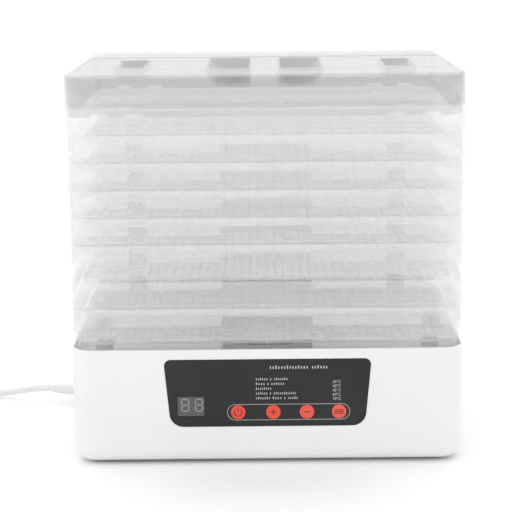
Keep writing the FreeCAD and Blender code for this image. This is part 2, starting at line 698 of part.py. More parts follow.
# ------------------------------------------------------------------ fan, duct and heater
def make_grille():
    top = DECK_Z + GRILLE_T
    plate = rod(0, 0, DECK_Z, top, GRILLE_R)
    plate = plate.makeFillet(0.8, [e for e in edges_at(plate, top)])
    pitch = (GRILLE_HOLE_R - 2 - GRILLE_HUB_R) / GRILLE_RINGS
    cuts = []
    for n in range(GRILLE_RINGS):
        inner = GRILLE_HUB_R + n * pitch + GRILLE_BAR
        cuts.append(pipe(0, 0, DECK_Z - 1, top + 1, GRILLE_HUB_R + (n + 1) * pitch, inner))
    spokes = []
    for n in range(GRILLE_SPOKES):
        bar = block(GRILLE_HUB_R - 2, GRILLE_HOLE_R, -GRILLE_BAR / 2, GRILLE_BAR / 2, DECK_Z, top)
        spokes.append(turned_copy(bar, n * 360 / GRILLE_SPOKES))
    plate = plate.cut(cuts).fuse(spokes)
    collar = pipe(0, 0, DECK_UNDER, DECK_Z + 0.2, GRILLE_HOLE_R - 0.2, GRILLE_HOLE_R - 2.0)
    dome_r = (GRILLE_HUB_R**2 + HUB_RISE**2) / (2 * HUB_RISE)
    dome = Part.makeSphere(dome_r, V(0, 0, top + HUB_RISE - dome_r))
    dome = dome.common(rod(0, 0, top - 0.5, top + HUB_RISE + 1, GRILLE_HUB_R + 1))
    save("outlet_grille", all_of([plate, collar, dome]).removeSplitter())


def make_duct():
    low = DECK_UNDER - DUCT_H
    wall = pipe(0, 0, low, DECK_UNDER, DUCT_R + DUCT_T, DUCT_R)
    flange = pipe(0, 0, DECK_UNDER - DUCT_T, DECK_UNDER, DUCT_FLANGE_R, DUCT_R)
    duct = wall.fuse(flange)
    gap = VANE_T / 2 + VANE_GAP
    reach = DUCT_FLANGE_R + 1
    slot_low = VANE_Z - VANE_GAP
    slots = [block(-gap, gap, -reach, reach + 10, slot_low, DECK_UNDER - DUCT_T),
             block(-reach, reach, -gap, gap, slot_low, DECK_UNDER - DUCT_T)]
    holes = [rod(x, y, low, DECK_UNDER + 1, SCREW_R + 0.2) for x, y in duct_screw_places()]
    save("fan_duct", duct.cut(slots + holes))
    screws = []
    for x, y in duct_screw_places():
        head = rod(x, y, DECK_UNDER - DUCT_T - SCREW_HEAD_T, DECK_UNDER - DUCT_T, SCREW_HEAD_R)
        shank = rod(x, y, DECK_UNDER - DUCT_T - 0.5, DECK_Z - 1.0, SCREW_R)
        screws.append(head.fuse(shank))
    save("duct_screws", *screws)


def make_heater():
    half = DUCT_R + DUCT_T + 2.0
    top = VANE_Z + VANE_H
    middle = VANE_Z + VANE_H / 2
    rings = [Part.makeTorus(r, COIL_WIRE_R, V(0, 0, middle)) for r in COIL_RINGS]
    holes = [Part.makeTorus(r, COIL_WIRE_R + 0.2, V(0, 0, middle)) for r in COIL_RINGS]
    across = block(-half, half, -VANE_T / 2, VANE_T / 2, VANE_Z, top)
    along = block(-VANE_T / 2, VANE_T / 2, -half, half + TAB_L, VANE_Z, top)
    slit = VANE_T / 2 + 0.05
    across = across.cut([block(-slit, slit, -2, 2, middle, top + 1)] + holes)
    along = along.cut([block(-2, 2, -slit, slit, VANE_Z - 1, middle)] + holes)
    save("heater_frame", across, along)
    save("heater_coils", *rings)
    tab_y = half + TAB_L - 7
    save("thermostat", rod_x(tab_y, middle, VANE_T / 2, VANE_T / 2 + 6, VANE_H / 2 + 0.3))
    fuse = Part.makeCylinder(1.8, 12, V(-VANE_T / 2 - 1.85, tab_y - 6, middle), V(0, 1, 0))
    save("thermal_fuse", fuse)


def blade(angle):
    """A thin blade, steeper at the hub than at the tip."""
    sections = []
    for r, pitch, chord in ((FAN_HUB_R - 1.0, 42.0, 13.0), (38.0, 30.0, 26.0), (FAN_R, 22.0, 33.0)):
        a = math.radians(pitch)
        along = V(0, math.cos(a) * chord / 2, math.sin(a) * chord / 2 * FAN_HUB_H / 16)
        thick = V(0, -math.sin(a) * BLADE_T / 2, math.cos(a) * BLADE_T / 2)
        middle = V(r, 0, FAN_Z + FAN_HUB_H / 2)
        corners = [
            middle - along - thick,
            middle + along - thick,
            middle + along + thick,
            middle - along + thick,
        ]
        sections.append(Part.makePolygon(corners + corners[:1]))
    return turned_copy(Part.makeLoft(sections, True, True), angle)


def make_fan():
    hub = rod(0, 0, FAN_Z, FAN_Z + FAN_HUB_H, FAN_HUB_R)
    hub = hub.makeFillet(1.5, edges_at(hub, FAN_Z + FAN_HUB_H))
    fan = all_of([hub] + [blade(n * 360 / BLADES) for n in range(BLADES)])
    fan = fan.common(rod(0, 0, FAN_Z - 10, FAN_Z + FAN_HUB_H + 10, FAN_R))
    save("fan_impeller", fan.cut(rod(0, 0, FAN_Z - 1, FAN_Z + FAN_HUB_H + 1, SHAFT_R + CLOSE_FIT)))
    nut_z = FAN_Z + FAN_HUB_H
    save("fan_nut", pipe(0, 0, nut_z, nut_z + 2.2, 5.0, SHAFT_R + CLOSE_FIT))
    save("motor_shaft", rod(0, 0, SHAFT_LOW, nut_z + 2.6, SHAFT_R))


def bearing_levels():
    return [(z - 1.5, z + BRACKET_T + 1.5) for z in (LOW_PLATE_Z, BRACKET_Z)]


def make_motor():
    low = STATOR_Z
    high = STATOR_Z + STATOR_H
    core = block(-PLATE_X, PLATE_X, PLATE_FRONT, 48, low, high)
    core = core.makeFillet(3.0, [e for e in core.Edges if abs(e.BoundBox.ZLength - STATOR_H) < 0.01])
    bore = rod(0, 0, low - 1, high + 1, ROTOR_R + 0.6)
    window = block(-17, 17, 18, 36, low - 1, high + 1)
    bolts = [rod(s * MOTOR_BOLT_X, y, low - 1, high + 1, 2.2) for s in (-1, 1) for y in MOTOR_BOLT_YS]
    save("motor_stator", core.cut([bore, window] + bolts))
    coil = block(-16, 16, 30, 54, low - 7, high + 7)
    coil = coil.makeFillet(3.0, [e for e in coil.Edges if abs(e.BoundBox.XLength - 32) < 0.01])
    save("motor_coil", coil.cut(block(-17, 17, 35.7, 48.3, low - 0.3, high + 0.3)))
    rotor = pipe(0, 0, low - 1, high + 1, ROTOR_R, SHAFT_R + CLOSE_FIT)
    save("motor_rotor", rotor)
    bearings = [pipe(0, 0, z0, z1, 6.0, SHAFT_R + SHAFT_RUN) for z0, z1 in bearing_levels()]
    save("motor_bearings", *bearings)
    seat = 6.0 + CLOSE_FIT
    low_top = LOW_PLATE_Z + BRACKET_T
    high_top = BRACKET_Z + BRACKET_T
    bolt_places = [(s * MOTOR_BOLT_X, y) for s in (-1, 1) for y in MOTOR_BOLT_YS]
    low_plate = block(-PLATE_X, PLATE_X, PLATE_FRONT, PLATE_BACK, LOW_PLATE_Z, low_top)
    feet = [pipe(x, y, low_top, low, 3.6, 2.2) for x, y in bolt_places]
    holes = [rod(0, 0, 0, 100, seat)] + [rod(x, y, 0, 100, 2.2) for x, y in bolt_places]
    save("motor_bracket_lower", all_of([low_plate] + feet).cut(holes))
    reach = MOTOR_POST_X + 7
    high_plate = block(-reach, reach, PLATE_FRONT, PLATE_BACK, BRACKET_Z, high_top)
    sides = [block(s * 56 - 28, s * 56 + 28, y - 20, y + 20, BRACKET_Z - 1, high_top + 1)
             for s in (-1, 1) for y in (-30, 28)]
    feet = [pipe(x, y, high, BRACKET_Z, 3.6, 2.2) for x, y in bolt_places]
    ears = [rod(s * MOTOR_POST_X, 0, 0, 100, SCREW_R + 0.2) for s in (-1, 1)]
    plate = high_plate.cut(sides)
    save("motor_bracket_upper", all_of([plate] + feet).cut(holes + ears))
    bolts = []
    for x, y in bolt_places:
        shank = rod(x, y, LOW_PLATE_Z - 1, high_top + 1, 2.0)
        head = rod(x, y, LOW_PLATE_Z - 2.2, LOW_PLATE_Z, 3.6)
        nut = rod(x, y, high_top, high_top + 2.0, 3.4)
        bolts.append(all_of([shank, head, nut]))
    save("motor_bolts", *bolts)
    screws = []
    for s in (-1, 1):
        head = rod(s * MOTOR_POST_X, 0, high_top, high_top + SCREW_HEAD_T, SCREW_HEAD_R)
        shank = rod(s * MOTOR_POST_X, 0, BRACKET_Z - 12, high_top + 0.5, SCREW_R)
        screws.append(head.fuse(shank))
    save("bracket_screws", *screws)


# ------------------------------------------------------------------ power board
def make_power_board():
    x0 = POWER_X
    y0 = POWER_Y
    top = POWER_BOARD_Z + BOARD_T
    board = block(x0, x0 + POWER_BOARD_W, y0, y0 + POWER_BOARD_L, POWER_BOARD_Z, top)
    holes = [rod(x, y, POWER_BOARD_Z - 1, top + 1, BOARD_SCREW_R + 0.2) for x, y in power_board_places()]
    save("power_board", board.cut(holes))
    terminal_y = y0 + TERMINAL_Y
    terminal = block(x0 + TERMINAL_IN, x0 + 24, terminal_y - 6, terminal_y + 6, top, top + 11)
    save("terminal_block", terminal)
    save("power_relay", block(x0 + 30, x0 + 46, y0 + 8, y0 + 27, top, top + 15))
    save("filter_capacitor", block(x0 + 8, x0 + 26, y0 + 52, y0 + 60, top, top + 14))
    save("small_transformer", block(x0 + 54, x0 + 72, y0 + 36, y0 + 58, top, top + 19))
    smooth = rod(x0 + 40, y0 + 57, top, top + 16, 6.0)
    save("smoothing_capacitor", smooth.makeFillet(0.8, edges_at(smooth, top + 16)))
    save("board_fuse", Part.makeCylinder(2.6, 20, V(x0 + 30, y0 + 38, top + 2.65), V(1, 0, 0)))


def board_screw(tip, head_top):
    """A small self-tapping screw from its tip to the top of its head, along any direction."""
    along = head_top.sub(tip)
    length = along.Length
    shank = Part.makeCylinder(BOARD_SCREW_R, length - 1.0, tip, along)
    seat = tip + along * ((length - BOARD_HEAD_T) / length)
    return shank.fuse(Part.makeCylinder(BOARD_HEAD_R, BOARD_HEAD_T, seat, along))


def make_board_screws():
    back = BOARD_FACE + BOARD_T + BOARD_HEAD_T
    top = POWER_BOARD_Z + BOARD_T + BOARD_HEAD_T
    screws = [board_screw(V(x, BOARD_FACE - 6, z), V(x, back, z)) for x, z in board_places()]
    screws += [board_screw(V(x, y, POWER_BOARD_Z - 6), V(x, y, top)) for x, y in power_board_places()]
    save("board_screws", *screws)


def make_case_screws():
    screws = []
    for x, y in corner_places():
        seat = COVER_BOTTOM + 7
        head = rod(x, y, seat - SCREW_HEAD_T, seat, SCREW_HEAD_R)
        shank = rod(x, y, seat - 0.5, COVER_TOP + LIP_H + 12, SCREW_R)
        screws.append(head.fuse(shank))
    save("case_screws", *screws)


# ------------------------------------------------------------------ leads
def wire(points, diameter, name):
    """A round lead: straight runs joined by tangent arcs, each as large as its runs allow."""
    runs = [b.sub(a).Length for a, b in zip(points, points[1:])]
    edges = []
    length = 0.0
    start = points[0]
    radii = []
    for n in range(1, len(points) - 1):
        before = points[n - 1].sub(points[n]).normalize()
        after = points[n + 1].sub(points[n]).normalize()
        half = (math.pi - before.getAngle(after)) / 2
        reach = 0.45 * min(runs[n - 1], runs[n])
        radius = reach / math.tan(half)
        radii.append(radius)
        enter = points[n] + before * reach
        leave = points[n] + after * reach
        to_centre = (before + after).normalize()
        inner = points[n] + to_centre * (radius / math.cos(half) - radius)
        edges.append(Part.LineSegment(start, enter).toShape())
        edges.append(Part.Arc(enter, inner, leave).toShape())
        length += enter.sub(start).Length + 2 * half * radius
        start = leave
    edges.append(Part.LineSegment(start, points[-1]).toShape())
    length += points[-1].sub(start).Length
    path = Part.Wire(edges)
    first = points[1].sub(points[0])
    section = Part.Wire(Part.makeCircle(diameter / 2, points[0], first))
    solid = path.makePipeShell([section], True, False)
    ratio = solid.Volume / (math.pi * diameter**2 / 4 * length)
    shown = ", ".join(f"{r:.0f}" for r in radii)
    print(f"{name}: length {length:.1f} mm, radii {shown} mm, {ratio:.4f} of section x length")
    return solid


def unit(angle):
    return V(math.cos(angle), math.sin(angle), 0)


def coil_frame():
    """The coil's middle and the angle at which the lead joins it, running on in one line."""
    end = LEAD_POINTS[-1]
    heading = end.sub(LEAD_POINTS[-2])
    heading.z = 0
    heading.normalize()
    left = V(-heading.y, heading.x, 0)
    touch = end + heading * STUB
    middle = touch + left * COIL_OUTER_R
    middle.z = 0
    return middle, math.atan2(-left.y, -left.x)


def make_lead():
    save("power_cord", wire(LEAD_POINTS, LEAD_D, "power cord"))
    middle, start = coil_frame()
    r = LEAD_D / 2
    low = COIL_LOW_Z - r
    high = COIL_HIGH_Z + r
    inner = COIL_MIDDLE_R - LEAD_D - r - COIL_SPREAD
    outer = COIL_OUTER_R + r
    ring = pipe(middle.x, middle.y, low, high, outer, inner)
    inlet = Part.makeCylinder(r, STUB, LEAD_POINTS[-1], V(*(coil_touch(start, COIL_LOW_Z) - LEAD_POINTS[-1])))
    finish = start + COIL_TURNS * 2 * math.pi
    leave = coil_touch(finish, COIL_HIGH_Z)
    dip = math.radians(PLUG_DIP)
    tail = unit(finish + math.pi / 2) * math.cos(dip) - Z_AXIS * math.sin(dip)
    outlet = Part.makeCylinder(r, STUB, leave, tail)
    save("cord_coil", all_of([ring, inlet, outlet]))
    tie_angle = start + math.pi
    loop = block(inner - TIE_T - 0.1, outer + TIE_T + 0.1, -TIE_HALF_W, TIE_HALF_W, low - TIE_T, high + TIE_T)
    loop = loop.cut(pipe(0, 0, low, high, outer + 0.1, inner - 0.1))
    loop.rotate(ORIGIN, Z_AXIS, math.degrees(tie_angle))
    loop.translate(middle)
    save("cord_tie", loop)
    make_plug(leave + tail * STUB, math.degrees(finish + math.pi / 2))


def coil_touch(angle, z):
    middle, _ = coil_frame()
    place = middle + unit(angle) * COIL_OUTER_R
    place.z = z
    return place


def make_plug(place, heading):
    """A two-pin plug laid flat, built along +X and then turned into place."""
    boot = Part.makeCone(4.0, 5.6, 22.0, V(0, 0, 0), V(1, 0, 0))
    sections = []
    for x, w, h in ((22.0, 9.0, 6.6), (27.0, 14.0, 8.2), (50.0, 17.0, 8.6), (60.0, 16.4, 8.2)):
        r = min(w, h) * 0.45
        flat = slab(0, 1, 0.0, 2 * h, 2 * w, r)
        outline = edges_at(flat, 0)
        face_wire = Part.Wire(Part.__sortEdges__(outline))
        face_wire.rotate(ORIGIN, V(0, 1, 0), -90)
        face_wire.translate(V(x, 0, 0))
        sections.append(face_wire)
    body = Part.makeLoft(sections, True, False)
    pins = []
    for s in (-1, 1):
        pin = Part.makeCylinder(PIN_R, 29.0, V(50.0, s * PIN_SPACING / 2, 0), V(1, 0, 0))
        tip = [e for e in pin.Edges if min(e.BoundBox.XMin, e.BoundBox.XMax) > 78.99]
        pins.append(pin.makeFillet(1.2, tip))
    bores = [Part.makeCylinder(PIN_R + CLOSE_FIT, 12.0, V(49.9, s * PIN_SPACING / 2, 0), V(1, 0, 0))
             for s in (-1, 1)]
    body = body.cut(bores)
    for name, shapes in (("plug_boot", [boot]), ("plug_body", [body]), ("plug_pins", pins)):
        placed = []
        for shape in shapes:
            shape.rotate(ORIGIN, V(0, 1, 0), PLUG_DIP)
            shape.rotate(ORIGIN, Z_AXIS, heading)
            shape.translate(place)
            placed.append(shape)
        save(name, *placed)


def make_strain_relief():
    wall = -WIDTH / 2
    root = V(wall - 2.5, RELIEF_Y, RELIEF_Z)
    along = LEAD_POINTS[0].sub(root)
    tail = Part.makeCone(RELIEF_R, RELIEF_TIP_R, along.Length, root, along)
    collar = rod_x(RELIEF_Y, RELIEF_Z, wall - 4.5, wall - 0.1, RELIEF_R + 1.2)
    neck = rod_x(RELIEF_Y, RELIEF_Z, wall - 1.0, wall + RELIEF_INNER, RELIEF_NECK_R)
    relief = all_of([tail, collar, neck])
    save("strain_relief", relief.cut(rod_x(RELIEF_Y, RELIEF_Z, wall + 2, wall + 30, LEAD_D / 2)))
    high = RELIEF_Z + 5.5
    inside = [
        V(wall + 2.0, RELIEF_Y, RELIEF_Z),
        V(wall + 13.0, RELIEF_Y, RELIEF_Z),
        V(wall + 22.0, RELIEF_Y + 0.8, RELIEF_Z + 2.6),
        V(wall + 31.0, RELIEF_Y + 2.0, high),
        V(POWER_X + TERMINAL_IN, POWER_Y + TERMINAL_Y, high),
    ]
    save("inner_lead", wire(inside, LEAD_D - 0.2, "inner lead"))


# ------------------------------------------------------------------ run
make_trays()
make_lid()
make_housing()
make_cover()
make_feet()
make_panel()
make_buttons()
make_control_board()
make_grille()
make_duct()
make_heater()
make_fan()
make_motor()
make_power_board()
make_board_screws()
make_case_screws()
make_lead()
make_strain_relief()
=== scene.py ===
"""Looks for the food dehydrator: clear trays and lid, white base, black key panel, mains lead.

Metres, in the frame's own axes: +Z up, the key panel faces -Y, +X to the right of its user.
"""
import json
import math

import bmesh
import bpy
from mathutils import Matrix, Vector


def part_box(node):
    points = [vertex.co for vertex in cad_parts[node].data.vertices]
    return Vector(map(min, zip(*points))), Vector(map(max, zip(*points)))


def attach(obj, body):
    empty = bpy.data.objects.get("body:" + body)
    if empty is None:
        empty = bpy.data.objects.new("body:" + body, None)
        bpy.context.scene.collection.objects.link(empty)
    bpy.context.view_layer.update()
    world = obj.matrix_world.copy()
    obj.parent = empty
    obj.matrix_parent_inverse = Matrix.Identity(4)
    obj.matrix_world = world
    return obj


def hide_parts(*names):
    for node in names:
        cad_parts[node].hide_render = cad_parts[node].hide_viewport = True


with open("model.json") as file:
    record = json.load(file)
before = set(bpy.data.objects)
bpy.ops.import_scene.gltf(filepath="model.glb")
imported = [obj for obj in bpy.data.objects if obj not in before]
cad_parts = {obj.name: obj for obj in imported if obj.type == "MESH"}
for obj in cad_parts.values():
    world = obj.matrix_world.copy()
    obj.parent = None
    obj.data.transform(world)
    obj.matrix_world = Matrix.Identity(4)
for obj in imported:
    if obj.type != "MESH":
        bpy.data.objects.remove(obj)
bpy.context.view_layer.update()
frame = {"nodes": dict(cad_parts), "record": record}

MM = 0.001
NODES = frame["nodes"]
scene = bpy.context.scene

TRAY_NUMBERS = range(1, 9)
KEYS = ("power", "plus", "minus", "mode")


# ------------------------------------------------------------------ camera
CAMERA_PLACE = Vector((-1.3, -1529.0, 454.0)) * MM
CAMERA_LENS = 117.0  # mm, on a sensor 36 mm wide
SENSOR_WIDTH = 36.0
CAMERA_PITCH = 10.95  # degrees below level
CAMERA_ROLL = -0.54  # degrees
CAMERA_SHIFT = -0.0175  # sideways, as a share of the picture's width


def make_camera():
    data = bpy.data.cameras.new("camera")
    data.lens = CAMERA_LENS
    data.sensor_width = SENSOR_WIDTH
    data.shift_x = CAMERA_SHIFT
    data.clip_start = 0.01
    data.clip_end = 200.0
    camera = bpy.data.objects.new("camera", data)
    tilt = Matrix.Rotation(math.radians(90.0 - CAMERA_PITCH), 4, "X")
    roll = Matrix.Rotation(math.radians(CAMERA_ROLL), 4, "Z")
    camera.matrix_world = Matrix.Translation(CAMERA_PLACE) @ tilt @ roll
    scene.collection.objects.link(camera)
    scene.camera = camera


# ------------------------------------------------------------------ materials
DRIFT_SCALE = 14.0  # slow changes of colour, in steps per metre
HAZE_SCALE = 9.0
WAVE_SCALE = 55.0
GRAIN_STRENGTH = 0.35
WAVE_STRENGTH = 0.12
CLEAR_IOR = 1.46
HAZE_STEP = (0.02, 0.017, 0.014)  # how much darker and cooler the hazier parts are
PRINT_RELIEF = 0.00001


def node_tree(material):
    material.use_nodes = True
    tree = material.node_tree
    shader = tree.nodes["Principled BSDF"]
    return tree, shader


def ramp(tree, source, low, high, start=0.35, end=0.65):
    """Maps a value from start..end to low..high."""
    node = tree.nodes.new("ShaderNodeMapRange")
    node.inputs["From Min"].default_value = start
    node.inputs["From Max"].default_value = end
    node.inputs["To Min"].default_value = low
    node.inputs["To Max"].default_value = high
    tree.links.new(source, node.inputs["Value"])
    return node.outputs["Result"]


def noise(tree, scale, detail=3.0, stretch=(1, 1, 1)):
    """Noise in the piece's own coordinates, in steps per metre."""
    place = tree.nodes.new("ShaderNodeTexCoord")
    mapping = tree.nodes.new("ShaderNodeMapping")
    mapping.inputs["Scale"].default_value = stretch
    texture = tree.nodes.new("ShaderNodeTexNoise")
    texture.inputs["Scale"].default_value = scale
    texture.inputs["Detail"].default_value = detail
    tree.links.new(place.outputs["Object"], mapping.inputs["Vector"])
    tree.links.new(mapping.outputs["Vector"], texture.inputs["Vector"])
    return texture.outputs["Fac"]


def tint(tree, source, dark, light):
    node = tree.nodes.new("ShaderNodeMix")
    node.data_type = "RGBA"
    node.inputs["A"].default_value = (*dark, 1)
    node.inputs["B"].default_value = (*light, 1)
    tree.links.new(source, node.inputs["Factor"])
    return node.outputs["Result"]


def bump(tree, shader, source, strength, height):
    node = tree.nodes.new("ShaderNodeBump")
    node.inputs["Strength"].default_value = strength
    node.inputs["Distance"].default_value = height
    tree.links.new(source, node.inputs["Height"])
    tree.links.new(node.outputs["Normal"], shader.inputs["Normal"])


def surface(name, colour, rough, spread=0.03, rough_spread=0.06, grain=900.0, relief=0.00003,
            metallic=0.0, coat=0.0, stretch=(1, 1, 1)):
    """A moulded, plated or painted surface: slight drift of colour and gloss, and a fine grain."""
    material = bpy.data.materials.new(name)
    tree, shader = node_tree(material)
    shader.inputs["Metallic"].default_value = metallic
    shader.inputs["Coat Weight"].default_value = coat
    dark = [max(c - spread, 0.0) for c in colour]
    light = [min(c + spread, 1.0) for c in colour]
    drift = noise(tree, DRIFT_SCALE)
    tree.links.new(tint(tree, ramp(tree, drift, 0.0, 1.0), dark, light), shader.inputs["Base Color"])
    fine = noise(tree, grain, 2.0, stretch)
    gloss = ramp(tree, fine, rough - rough_spread, rough + rough_spread)
    tree.links.new(gloss, shader.inputs["Roughness"])
    bump(tree, shader, fine, GRAIN_STRENGTH, relief)
    return material


def clear_plastic(name, tint_and_shade_level, rough, opacity, clear_share, wave_height):
    """Clear moulded plastic: a thin wall that lets much of the light straight through, with haze and gloss.

    opacity is the share that doesn't pass straight through, and clear_share is how much of that is
    bent like glass. The rest is a pale haze.
    """
    material = bpy.data.materials.new(name)
    tree, shader = node_tree(material)
    shader.inputs["Transmission Weight"].default_value = clear_share
    shader.inputs["IOR"].default_value = CLEAR_IOR
    shader.inputs["Alpha"].default_value = opacity
    shader.inputs["Roughness"].default_value = rough
    # a level below 1.0 darkens the whole wall evenly; the lid uses this for painted shade, the trays keep
    # 1.0
    light = (tint_and_shade_level, tint_and_shade_level, tint_and_shade_level)
    dark = [tint_and_shade_level - step for step in HAZE_STEP]
    drift = noise(tree, HAZE_SCALE)
    tree.links.new(tint(tree, ramp(tree, drift, 0.0, 1.0), dark, light), shader.inputs["Base Color"])
    wave = noise(tree, WAVE_SCALE, 1.0)
    bump(tree, shader, wave, WAVE_STRENGTH, wave_height)
    return material


def paint(node, material):
    mesh = NODES[node].data
    mesh.materials.clear()
    mesh.materials.append(material)


def make_materials():
    made = {
        "clear_plastic": clear_plastic("clear_plastic", 1.0, 0.16, 0.27, 0.35, 0.0004),
        # the lid is the same clear plastic as the trays, but its copy has its colour level lowered to 0.52
        # against 1.0: painted shade
        "clear_lid_painted_shade": clear_plastic("clear_lid_painted_shade", 0.52, 0.05, 0.42, 0.65, 0.0003),
        "clear_mesh": clear_plastic("clear_mesh", 1.0, 0.25, 0.50, 0.20, 0.0002),
        "white_plastic": surface("white_plastic", (0.845, 0.85, 0.855), 0.34, spread=0.008, coat=0.1),
        "black_panel": surface("black_panel", (0.006, 0.006, 0.007), 0.42, spread=0.003,
                               rough_spread=0.02, relief=0.000002),
        "display_smoke": surface("display_smoke", (0.10, 0.10, 0.104), 0.22, spread=0.01,
                                 relief=PRINT_RELIEF),
        "button_red": surface("button_red", (0.80, 0.075, 0.045), 0.36, spread=0.02,
                              relief=PRINT_RELIEF),
        "foot_rubber": surface("foot_rubber", (0.62, 0.62, 0.61), 0.75, relief=0.0001),
        "board_green": surface("board_green", (0.03, 0.20, 0.08), 0.35, spread=0.015),
        "component_black": surface("component_black", (0.03, 0.03, 0.03), 0.5, spread=0.01),
        "component_white": surface("component_white", (0.78, 0.76, 0.70), 0.45, spread=0.02),
        "component_yellow": surface("component_yellow", (0.62, 0.42, 0.05), 0.4, spread=0.03),
        "steel": surface("steel", (0.55, 0.56, 0.57), 0.33, metallic=1.0, stretch=(1, 1, 14)),
        "lamination": surface("lamination", (0.30, 0.30, 0.31), 0.45, metallic=1.0, grain=1800.0,
                              relief=0.0001, stretch=(0.02, 0.02, 1)),
        "copper_coil": surface("copper_coil", (0.62, 0.26, 0.10), 0.3, metallic=0.9, grain=1500.0,
                               relief=0.0002, stretch=(1, 0.05, 1)),
        "bronze": surface("bronze", (0.50, 0.34, 0.16), 0.4, metallic=1.0),
        "fan_plastic": surface("fan_plastic", (0.06, 0.06, 0.065), 0.45, spread=0.01),
        "mica": surface("mica", (0.58, 0.50, 0.36), 0.55, spread=0.07),
        "heater_wire": surface("heater_wire", (0.33, 0.30, 0.28), 0.5, metallic=0.8, grain=2200.0,
                               relief=0.0004),
        "cord_white": surface("cord_white", (0.80, 0.80, 0.81), 0.42, spread=0.01),
        "pin_metal": surface("pin_metal", (0.72, 0.72, 0.73), 0.2, metallic=1.0),
        "fuse_glass": surface("fuse_glass", (0.80, 0.83, 0.83), 0.12),
        "print_white": surface("print_white", (0.55, 0.55, 0.55), 0.5, spread=0.02, relief=PRINT_RELIEF),
        "print_grey": surface("print_grey", (0.42, 0.42, 0.42), 0.5, spread=0.02, relief=PRINT_RELIEF),
        "digit_grey": surface("digit_grey", (0.26, 0.26, 0.26), 0.4, spread=0.02, relief=PRINT_RELIEF),
        "icon_dark": surface("icon_dark", (0.15, 0.012, 0.010), 0.45, spread=0.01, relief=PRINT_RELIEF),
    }
    for entry in frame["record"]["subparts"]:
        paint(entry["node"], made[entry["material_slot"]])
    # the lid takes the darker copy of the clear plastic, which carries painted shade
    paint("lid", made["clear_lid_painted_shade"])
    return made


# ------------------------------------------------------------------ mains lead
LEAD_D = 6.4 * MM
LEAD_ROUTE = [
    Vector((-211.0, 66.0, 13.8)) * MM,
    Vector((-224.4, 70.2, 13.55)) * MM,
    Vector((-245.0, 78.5, 8.6)) * MM,
    Vector((-266.0, 83.7, 4.6)) * MM,
    Vector((-287.0, 83.0, 4.2)) * MM,
    Vector((-308.0, 77.0, 4.2)) * MM,
]
STUB = 26.0 * MM
COIL_R = 41.6 * MM
COIL_PITCH = 6.5 * MM
COIL_LOW_Z = 4.2 * MM
COIL_HIGH_Z = 10.75 * MM
COIL_TURNS = 5.25
CLIMB_START = 2.3  # turns after which the lead rises from its lower layer to its upper one
CLIMB_END = 2.9
CLIMB_LEAN = 1.7 * MM  # how far it leans inward on the way up
CLIMB_IN = 0.3 * MM
POINTS_PER_TURN = 24
PLUG_DIP = math.radians(1.6)


def coil_place(turn):
    """Radius and height of the coiled lead after so many turns: inward on the floor, up, outward."""
    inner = COIL_R - COIL_PITCH * CLIMB_START
    if turn < CLIMB_START:
        return COIL_R - COIL_PITCH * turn, COIL_LOW_Z
    if turn < CLIMB_END:
        share = (turn - CLIMB_START) / (CLIMB_END - CLIMB_START)
        lean = CLIMB_LEAN * math.sin(math.pi * share)
        rise = (1 - math.cos(math.pi * share)) / 2
        return inner - lean - CLIMB_IN * share, COIL_LOW_Z + rise * (COIL_HIGH_Z - COIL_LOW_Z)
    outward = (COIL_R - inner + CLIMB_IN) / (COIL_TURNS - CLIMB_END)
    return inner - CLIMB_IN + outward * (turn - CLIMB_END), COIL_HIGH_Z


def lead_points():
    end = LEAD_ROUTE[-1]
    heading = end - LEAD_ROUTE[-2]
    heading.z = 0
    heading.normalize()
    left = Vector((-heading.y, heading.x, 0))
    middle = end + heading * STUB + left * COIL_R
    middle.z = 0
    start = math.atan2(-left.y, -left.x)
    points = list(LEAD_ROUTE)
    for step in range(int(COIL_TURNS * POINTS_PER_TURN) + 1):
        turn = step / POINTS_PER_TURN
        radius, height = coil_place(turn)
        angle = start + turn * 2 * math.pi
        points.append(middle + Vector((radius * math.cos(angle), radius * math.sin(angle), height)))
    finish = start + COIL_TURNS * 2 * math.pi
    tail = Vector((-math.sin(finish) * math.cos(PLUG_DIP), math.cos(finish) * math.cos(PLUG_DIP),
                   -math.sin(PLUG_DIP)))
    touch = middle + Vector((COIL_R * math.cos(finish), COIL_R * math.sin(finish), COIL_HIGH_Z))
    points += [touch + tail * (STUB * share) for share in (0.5, 1.0)]
    return points


def make_lead(materials):
    curve = bpy.data.curves.new("mains_lead", "CURVE")
    curve.dimensions = "3D"
    curve.bevel_depth = LEAD_D / 2
    curve.bevel_resolution = 5
    curve.resolution_u = 6
    curve.use_fill_caps = True
    points = lead_points()
    spline = curve.splines.new("NURBS")
    spline.points.add(len(points) - 1)
    for target, point in zip(spline.points, points):
        target.co = (*point, 1.0)
    spline.order_u = 3
    spline.use_endpoint_u = True
    curve.materials.append(materials["cord_white"])
    lead = bpy.data.objects.new("mains_lead", curve)
    scene.collection.objects.link(lead)
    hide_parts("power_cord", "cord_coil")
    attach(lead, "base")


# ------------------------------------------------------------------ small pieces
def new_piece(name, shape, material, body):
    mesh = bpy.data.meshes.new(name)
    shape.to_mesh(mesh)
    shape.free()
    mesh.materials.append(material)
    piece = bpy.data.objects.new(name, mesh)
    scene.collection.objects.link(piece)
    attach(piece, body)
    return piece


BOX_SIDES = ((0, 1, 3, 2), (4, 6, 7, 5), (0, 4, 5, 1), (2, 3, 7, 6), (0, 2, 6, 4), (1, 5, 7, 3))


def add_box(shape, x0, x1, y0, y1, z0, z1):
    corners = [shape.verts.new((x, y, z)) for x in (x0, x1) for y in (y0, y1) for z in (z0, z1)]
    for side in BOX_SIDES:
        shape.faces.new([corners[n] for n in side])


def add_plate(shape, outline, y0, y1):
    """A thin plate facing -Y: its outline in (x, z) runs counter-clockwise as seen from -Y."""
    front = [shape.verts.new((x, y0, z)) for x, z in outline]
    back = [shape.verts.new((x, y1, z)) for x, z in outline]
    shape.faces.new(front)
    shape.faces.new(list(reversed(back)))
    count = len(outline)
    for n in range(count):
        m = (n + 1) % count
        shape.faces.new([front[m], front[n], back[n], back[m]])


